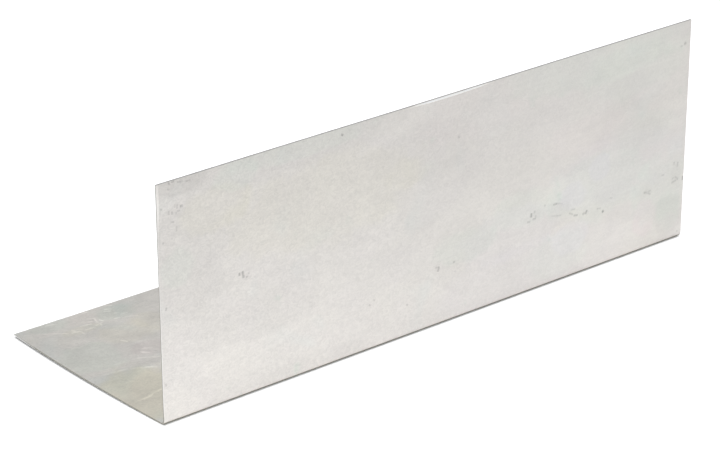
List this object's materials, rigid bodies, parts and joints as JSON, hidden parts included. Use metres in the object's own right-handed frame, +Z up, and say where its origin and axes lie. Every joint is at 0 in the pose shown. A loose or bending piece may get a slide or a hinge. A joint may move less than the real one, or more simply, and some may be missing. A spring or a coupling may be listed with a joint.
{
  "type": "step flashing",
  "caption": "Rectangle of mill-finish sheet aluminium folded into a right angle, which sheds rain where a sloped roof meets a wall.",
  "frame": {"origin": "middle of the roof leg's underside, on the surface that it lies on", "axes": "+X along the fold, +Y from the wall leg to the roof leg's free edge, +Z up the wall leg"},
  "size_m": [0.1778, 0.064, 0.064],
  "materials": {
    "sheet": "mill finish, satin, with a faint rolling grain along the fold"
  },
  "bodies": {
    "root": {"flashing": "sheet"}
  },
  "joints": []
}
